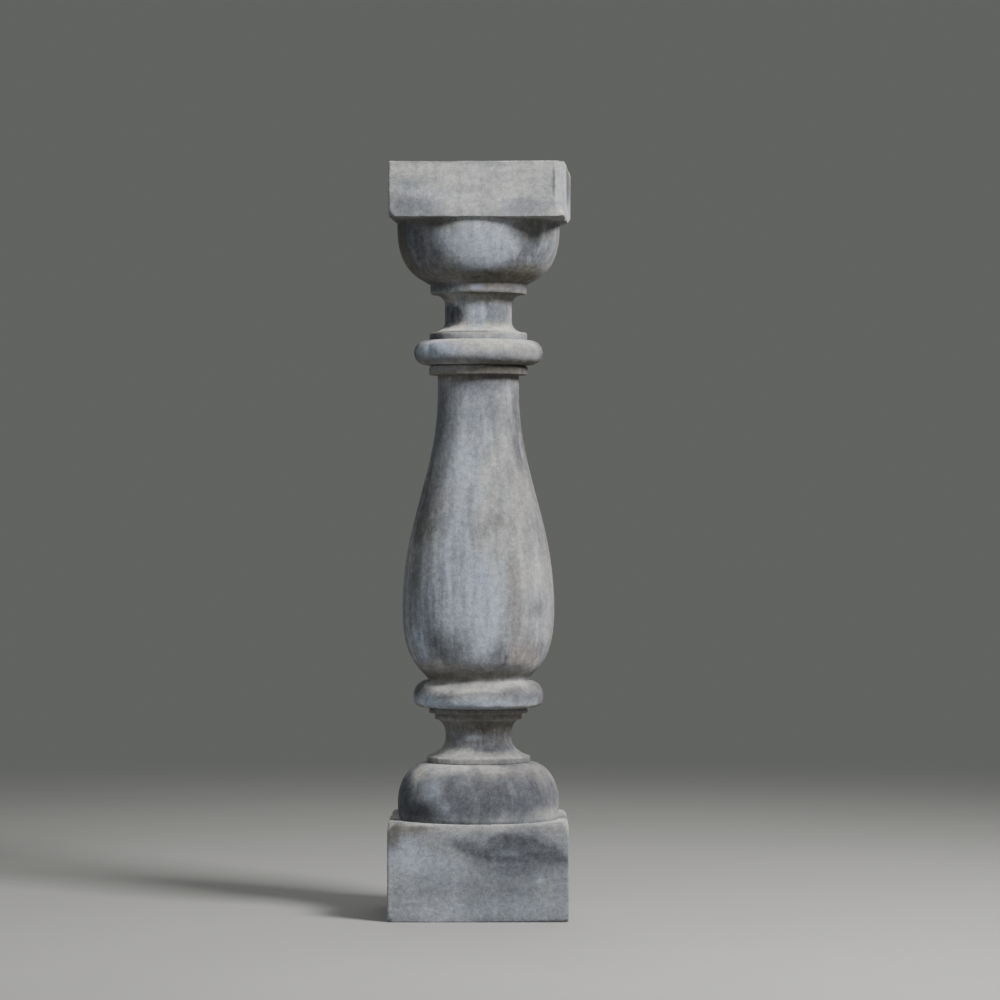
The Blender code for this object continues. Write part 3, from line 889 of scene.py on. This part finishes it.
# The dark lens on the front of the plinth, and the paler and dirtier parts around it
PLINTH_FACE_STAINS = (
    Patch("slate_and_shade", 24, 67, 18, 7, 0.64, 0.18, 4),
    Patch("slate_and_shade", 48, 60, 26, 8, 0.72, 0.2, -18),
    Patch("slate_and_shade", 34, 54, 40, 6, 0.70, 0.35, -5),
    Patch("slate_and_shade", -8, 61, 18, 6, 0.72, 0.4, -14),
    Patch("slate_and_shade", 14, 56, 20, 6, 0.35, 0.5, -10),
    Patch("slate_and_shade", 28, 43, 22, 4, 0.35, 0.6),
    Patch("slate_and_shade", 4, 51.5, 14, 5, 0.50, 0.6),
    Patch("slate_and_shade", 54, 67, 12, 4, 0.45, 0.5, -25),
    Patch("slate_and_shade", -16, 31, 16, 5, 0.25, 0.8),
    Patch("slate_and_shade", 56, 77, 18, 4, 0.35),
    Patch("blue", 30, 60, 44, 13, 0.60, 0.4, -8),
    Patch("blue", -18, 66, 14, 5, 0.40),
    Patch("blue", 38, 42, 36, 5, 0.60),
    Patch("slate_and_shade", 40, 45, 30, 2, 0.25, 0.6),
    Patch("frost_and_highlight", 28, 57.5, 13, 1.2, 0.40, 0.7),
    Patch("frost_and_highlight", -58, 55, 17, 12, 0.70, 0.7),
    Patch("frost_and_highlight", -34, 40, 30, 10, 0.30, 0.8),
    Patch("cream_and_light", -8, 77, 60, 4, 0.40),
    Patch("cream_and_light", 56, 79, 20, 4, 0.40),
    Patch("soil_and_shade", -71, 75, 7, 16, 0.80),
    Patch("soil_and_shade", -54, 80, 16, 7, 0.62),
    Patch("blue", 4, 28, 56, 16, 0.30, 0.7),
    Patch("frost_and_highlight", 36, 12, 40, 8, 0.30, 0.7),
    Patch("frost_and_highlight", -34, 11, 30, 8, 0.30, 0.7),
    Patch("cream_and_light", -73, 28, 3, 20, 0.50),
    Patch("frost_and_highlight", 51.5, 34.5, 3.0, 2.6, 1.0, 0.15),
    Patch("frost_and_highlight", -38, 50, 22, 7, 0.40, 0.7),
)

# Heights, in millimetres, between which water has streaked the stone, and how strongly
STREAKED = ((88, 126, 0.6), (134, 162, 1.0), (200, 452, 1.0), (494, 518, 0.8), (533, 581, 1.0))
FAINT_STREAKS = 0.3

TURNED_PATCHES = (HEAD_SIDE_PATCHES + BOWL_PATCHES + UPPER_NECK_PATCHES + UPPER_RING_PATCHES
                 + SHAFT_PATCHES + LOWER_RING_STAINS + LOWER_NECK_PATCHES + CUSHION_STAINS)
FACE_PATCHES = HEAD_FACE_PATCHES + PLINTH_FACE_STAINS


# The stains of the sides and the back. A kind that is named twice comes twice as often.
HIDDEN_SEED = 83
HIDDEN_COUNT = 110
HIDDEN_KINDS = ("slate_and_shade", "slate_and_shade", "blue", "blue", "frost_and_highlight", "cream_and_light", "cream_and_light", "rosy", "rosy")


def hidden_stains():
    """Patches of the same kinds for the sides and the back."""
    rng = np.random.default_rng(HIDDEN_SEED)
    stains = []
    for _ in range(HIDDEN_COUNT):
        kind = HIDDEN_KINDS[rng.integers(len(HIDDEN_KINDS))]
        stains.append(Patch(kind, rng.uniform(92, 268), rng.uniform(0, high.z / MM),
                            rng.uniform(5, 22), rng.uniform(5, 34),
                            rng.uniform(0.3, 0.85), rng.uniform(0.3, 0.7)))
    return stains


def patch_mask(stain, across, up, ragged):
    """A soft, tilted ellipse with a ragged border."""
    turn = math.radians(stain.tilt)
    along = across * math.cos(turn) + up * math.sin(turn)
    over = up * math.cos(turn) - across * math.sin(turn)
    distance = np.hypot(along / stain.half_across, over / stain.half_up) + 0.3 * ragged
    return 1 - smoothstep(1 - stain.soft, 1 + stain.soft, distance)


def streak_share(grid, normals):
    """How strongly water has streaked each point: least on what faces up or down."""
    height = grid[..., 2] / MM
    share = np.full(height.shape, FAINT_STREAKS)
    for foot, head, most in STREAKED:
        inside = smoothstep(foot - 2, foot + 2, height)
        inside *= 1 - smoothstep(head - 2, head + 2, height)
        share = np.maximum(share, most * inside)
    return share * (1 - smoothstep(0.45, 0.8, np.abs(normals[..., 2])))


def weather_layers(grid, azimuth, ragged):
    """The layers that follow the shape: bloom on what faces up, dirt and painted shade on what
    faces down, painted shade with some stain down the left side of all that is turned, darker
    streaks down its right side, a bluer foot and a patchy top."""
    height = grid[..., 2] / MM
    rise = grid_normals(smoothed(grid, 3))[..., 2]
    turned = smoothstep(84, 88, height) * (1 - smoothstep(580, 583, height))
    patchy = noise_field(grid * (1, 1, 0.3), 26 * MM, 3, 73)
    # left paints shade, with some stain, on the side away from the key light; right darkens the
    # right edge.
    left = smoothstep(38, 70, -azimuth) * (1 - smoothstep(95, 125, -azimuth))
    right = smoothstep(48, 84, azimuth) * (1 - smoothstep(100, 140, azimuth))
    foot = 1 - smoothstep(90, 190, height)
    crown = smoothstep(high.z - 2 * MM, high.z - 1 * MM, grid[..., 2])
    slate_and_shade = turned * np.maximum(left * np.clip(0.32 + 0.3 * patchy, 0, 0.8),
                                right * np.clip(0.25 + 0.3 * patchy, 0, 0.6))
    return {
        "cream_and_light": smoothstep(0.0, 0.5, rise) * np.clip(0.75 + 0.6 * ragged, 0, 1),
        # Dirt, and painted shade, on what faces down.
        "soil_and_shade": smoothstep(0.4, 0.9, -rise) * np.clip(0.48 + 0.3 * ragged, 0, 1),
        "slate_and_shade": slate_and_shade + crown * np.clip(0.2 + 0.9 * patchy, 0, 0.7),
        "rosy": turned * right * np.clip(0.7 + 0.4 * patchy, 0, 1),
        "blue": foot * np.clip(0.25 + 0.4 * patchy, 0, 0.6),
    }


def patch_layers(grid, normals):
    """How much of each layer lies on each point. The patches that go round the baluster stop at
    its top and its underside."""
    azimuth = np.degrees(np.arctan2(grid[..., 0], -grid[..., 1]))
    up = grid[..., 2] / MM
    rightwards = grid[..., 0] / MM
    ragged = noise_field(grid * (1, 1, 0.6), 15 * MM, 4, 71)
    bare = {name: np.ones(azimuth.shape) for name in LAYER_COLOURS}
    for name, share in weather_layers(grid, azimuth, ragged).items():
        bare[name] *= 1 - share
    around = smoothstep(0, 1, up) * (1 - smoothstep(-2, -1, up - high.z / MM))
    for stain in TURNED_PATCHES + tuple(hidden_stains()):
        across = (azimuth - stain.across + 180) % 360 - 180
        mask = patch_mask(stain, across, up - stain.up, ragged)
        bare[stain.layer] *= 1 - stain.strength * mask * around
    on_front = smoothstep(-0.6, -0.9, normals[..., 1])
    for stain in FACE_PATCHES:
        mask = patch_mask(stain, rightwards - stain.across, up - stain.up, ragged)
        bare[stain.layer] *= 1 - stain.strength * mask * on_front
    return {name: 1 - share for name, share in bare.items()}


def add_attribute(mesh, name, values):
    """Stores one number for each point, the two end points included."""
    attribute = mesh.attributes.new(name, "FLOAT", "POINT")
    flat = np.concatenate((values.ravel(), [values[0].mean(), values[-1].mean()]))
    attribute.data.foreach_set("value", flat.astype(np.float32))


def make_stone():
    """The dressed baluster."""
    grid, tops = all_rings()
    weather(grid, tops)
    normals = grid_normals(grid)
    mesh = stone_mesh(grid)
    sheltered = 1 - smoothstep(0.05, 0.5, normals[..., 2])
    hollow = smoothstep(0.5, 2.0, -bulge(grid, normals, 12)) * sheltered
    add_attribute(mesh, "hollow", hollow)
    edge = smoothstep(1.0, 2.0, bulge(grid, normals, 6))
    add_attribute(mesh, "edge", edge)
    add_attribute(mesh, "streaked", streak_share(grid, normals))
    for name, values in patch_layers(grid, normals).items():
        add_attribute(mesh, name, values)
    stone = bpy.data.objects.new("baluster_stone", mesh)
    bpy.context.scene.collection.objects.link(stone)
    return stone


# Stone material

class Nodes:
    """Short calls for building a material's nodes."""

    def __init__(self, tree):
        self.tree = tree

    def add(self, kind, **settings):
        node = self.tree.nodes.new(kind)
        for name, value in settings.items():
            setattr(node, name, value)
        return node

    def link(self, source, target):
        if isinstance(source, (int, float, tuple)):
            target.default_value = source
        else:
            self.tree.links.new(source, target)

    def attribute(self, name):
        return self.add("ShaderNodeAttribute", attribute_name=name).outputs["Fac"]

    def math(self, operation, first, second=0.0, clamp=False):
        node = self.add("ShaderNodeMath", operation=operation, use_clamp=clamp)
        self.link(first, node.inputs[0])
        self.link(second, node.inputs[1])
        return node.outputs[0]

    def ramp(self, value, low_edge, high_edge, low_value=0.0, high_value=1.0):
        node = self.add("ShaderNodeMapRange", interpolation_type="SMOOTHSTEP")
        self.link(value, node.inputs["Value"])
        self.link(low_edge, node.inputs["From Min"])
        self.link(high_edge, node.inputs["From Max"])
        self.link(low_value, node.inputs["To Min"])
        self.link(high_value, node.inputs["To Max"])
        return node.outputs["Result"]

    def mix(self, under, over, share):
        node = self.add("ShaderNodeMix", data_type="RGBA")
        self.link(share, node.inputs["Factor"])
        self.link(under, node.inputs["A"])
        self.link(over, node.inputs["B"])
        return node.outputs["Result"]

    def noise(self, scale, detail, stretch=(1, 1, 1), roughness=0.6, shift=0.0):
        coordinates = self.add("ShaderNodeTexCoord").outputs["Object"]
        mapping = self.add("ShaderNodeMapping")
        self.link(coordinates, mapping.inputs["Vector"])
        mapping.inputs["Scale"].default_value = stretch
        mapping.inputs["Location"].default_value = (shift, shift * 0.7, -shift * 1.3)
        node = self.add("ShaderNodeTexNoise")
        self.link(mapping.outputs["Vector"], node.inputs["Vector"])
        node.inputs["Scale"].default_value = scale
        node.inputs["Detail"].default_value = detail
        node.inputs["Roughness"].default_value = roughness
        return node.outputs["Fac"]

    def scale_colour(self, colour, factor):
        node = self.add("ShaderNodeVectorMath", operation="SCALE")
        self.link(colour, node.inputs[0])
        self.link(factor, node.inputs["Scale"])
        return node.outputs["Vector"]


STONE_DARK = (0.25, 0.26, 0.28, 1)
STONE_LIGHT = (0.42, 0.43, 0.45, 1)
STREAK_DARK = (0.15, 0.16, 0.19, 1)
STREAK_LIGHT = (0.56, 0.58, 0.61, 1)
GRAIN = (0.55, 0.56, 0.57, 1)
WORN = (0.56, 0.56, 0.55, 1)
MOST_WORN = 0.16
DIRT = (0.18, 0.165, 0.135, 1)

# How dark and how light the patches and the specks make the colour
MOTTLE = (0.84, 1.14)
SPECKLE = (0.76, 1.02)


def layer_share(nodes, name, breakup):
    """A layer's share, thinned and thickened by finer noise."""
    thickness = nodes.ramp(breakup, 0.3, 0.7, 0.7, 1.25)
    return nodes.math("MULTIPLY", nodes.attribute(name), thickness, clamp=True)


def layered_colour(nodes, fine, streaks):
    """Grey mottled stone, under the bloom, the stains and the painted shade and light."""
    broad = nodes.noise(26, 5, shift=1.0)
    colour = nodes.mix(STONE_DARK, STONE_LIGHT, nodes.ramp(broad, 0.3, 0.7))
    colour = nodes.mix(colour, GRAIN, nodes.ramp(fine, 0.5, 0.8, 0.0, 0.4))
    breakup = nodes.math("MULTIPLY", nodes.math("ADD", fine, streaks), 0.5)
    for name, tint in LAYER_COLOURS.items():
        colour = nodes.mix(colour, tint, layer_share(nodes, name, breakup))
    return colour


def streaked_colour(nodes, colour, streaks):
    """Upright dark and light streaks where water runs, and level bands elsewhere."""
    streaked = nodes.attribute("streaked")
    bands = nodes.noise(150, 4, stretch=(0.12, 0.12, 1), shift=9.0)
    share = nodes.math("MULTIPLY", nodes.ramp(bands, 0.5, 0.32, 0.0, 0.3),
                       nodes.math("SUBTRACT", 1.0, streaked))
    colour = nodes.mix(colour, STREAK_DARK, share)
    for tint, low_edge, high_edge, most in ((STREAK_DARK, 0.52, 0.34, 0.42),
                                            (STREAK_LIGHT, 0.50, 0.68, 0.30)):
        share = nodes.math("MULTIPLY", nodes.ramp(streaks, low_edge, high_edge, 0.0, most),
                           streaked)
        colour = nodes.mix(colour, tint, share)
    return colour


def stone_colour(nodes):
    """The stained and streaked stone, with its painted shade and light, dirt in its hollows, worn
    edges and speckles.
    """
    fine = nodes.noise(170, 6, shift=2.0)
    streaks = nodes.noise(110, 5, stretch=(1, 1, 0.10), shift=3.0)
    colour = streaked_colour(nodes, layered_colour(nodes, fine, streaks), streaks)
    dirt = nodes.math("MULTIPLY", nodes.attribute("hollow"),
                      nodes.ramp(fine, 0.3, 0.6, 0.25, 0.55))
    colour = nodes.mix(colour, DIRT, dirt)
    worn = nodes.ramp(nodes.attribute("edge"), 0.0, 1.0, 0.0, MOST_WORN)
    colour = nodes.mix(colour, WORN, worn)
    mottle = nodes.ramp(nodes.noise(240, 4, shift=10.0), 0.32, 0.68, *MOTTLE)
    speckle = nodes.ramp(nodes.noise(900, 3, shift=6.0), 0.35, 0.65, *SPECKLE)
    return nodes.scale_colour(colour, nodes.math("MULTIPLY", mottle, speckle))


def stone_bump(nodes):
    """Grain and broad unevenness, as a normal."""
    normal = None
    for height, distance in (
        (nodes.noise(75, 4, shift=7.0), 0.5 * MM),
        (nodes.noise(520, 5, roughness=0.65, shift=8.0), 0.22 * MM),
    ):
        bump = nodes.add("ShaderNodeBump")
        bump.inputs["Strength"].default_value = 0.6
        bump.inputs["Distance"].default_value = distance
        nodes.link(height, bump.inputs["Height"])
        if normal is not None:
            nodes.link(normal, bump.inputs["Normal"])
        normal = bump.outputs["Normal"]
    return normal


def stone_material():
    """Weathered stone under bloom, stains, dirt and painted shade and light."""
    material = bpy.data.materials.new("weathered_stone")
    material.use_nodes = True
    nodes = Nodes(material.node_tree)
    shader = material.node_tree.nodes["Principled BSDF"]
    nodes.link(stone_colour(nodes), shader.inputs["Base Color"])
    roughness = nodes.ramp(nodes.noise(70, 4, shift=5.0), 0.3, 0.7, 0.8, 0.97)
    nodes.link(roughness, shader.inputs["Roughness"])
    nodes.link(stone_bump(nodes), shader.inputs["Normal"])
    shader.inputs["Specular IOR Level"].default_value = 0.3
    shader.inputs["Diffuse Roughness"].default_value = 1.0
    return material


# Floor, light and camera

def make_floor():
    """A plain pale floor that fades out far from the baluster."""
    bpy.ops.mesh.primitive_circle_add(vertices=96, radius=FLOOR_RADIUS, fill_type="NGON",
                                      location=(0, 0, low.z))
    floor = bpy.context.object
    floor.name = "floor"
    material = bpy.data.materials.new("pale_floor")
    material.use_nodes = True
    nodes = Nodes(material.node_tree)
    shader = material.node_tree.nodes["Principled BSDF"]
    nodes.link(nodes.mix(FLOOR_LIGHT, FLOOR_DARK, nodes.noise(3, 3)), shader.inputs["Base Color"])
    shader.inputs["Roughness"].default_value = 0.9
    distance = nodes.add("ShaderNodeVectorMath", operation="LENGTH")
    nodes.link(nodes.add("ShaderNodeTexCoord").outputs["Object"], distance.inputs[0])
    nodes.link(nodes.ramp(distance.outputs["Value"], FLOOR_FADE, FLOOR_RADIUS, 1.0, 0.0),
               shader.inputs["Alpha"])
    floor.data.materials.append(material)


def add_light(name, azimuth, elevation, distance, size, power, colour):
    """A square soft light that looks at the middle of the baluster."""
    data = bpy.data.lights.new(name, "AREA")
    data.size = size
    data.energy = power
    data.color = colour
    light = bpy.data.objects.new(name, data)
    turn, rise = math.radians(azimuth), math.radians(elevation)
    away = Vector((math.sin(turn) * math.cos(rise), -math.cos(turn) * math.cos(rise),
                   math.sin(rise)))
    light.location = Vector((0, 0, high.z / 2)) + away * distance
    light.rotation_euler = away.to_track_quat("Z", "Y").to_euler()
    bpy.context.scene.collection.objects.link(light)


def make_lights():
    """A soft key from the upper right, faint broad lights from the front, the left and the
    back, and grey surroundings."""
    for settings in LIGHTS:
        add_light(*settings)
    world = bpy.data.worlds.new("surroundings")
    world.use_nodes = True
    background = world.node_tree.nodes["Background"]
    background.inputs["Color"].default_value = SURROUNDINGS
    background.inputs["Strength"].default_value = 1.0
    bpy.context.scene.world = world


def make_camera():
    """The photograph's view: level, long-lensed and a little right of the axis."""
    data = bpy.data.cameras.new("camera")
    data.lens = LENS_MM
    data.sensor_width = SENSOR_MM
    data.clip_end = 50
    camera = bpy.data.objects.new("camera", data)
    camera.location = (CAMERA_RIGHT, -CAMERA_DISTANCE, low.z + CAMERA_HEIGHT)
    camera.rotation_euler = (math.pi / 2 + CAMERA_TILT, 0, 0)
    bpy.context.scene.collection.objects.link(camera)
    bpy.context.scene.camera = camera


make_camera()
make_floor()
make_lights()
stone = make_stone()
stone.data.materials.append(stone_material())
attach(stone, "root")
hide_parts("baluster")
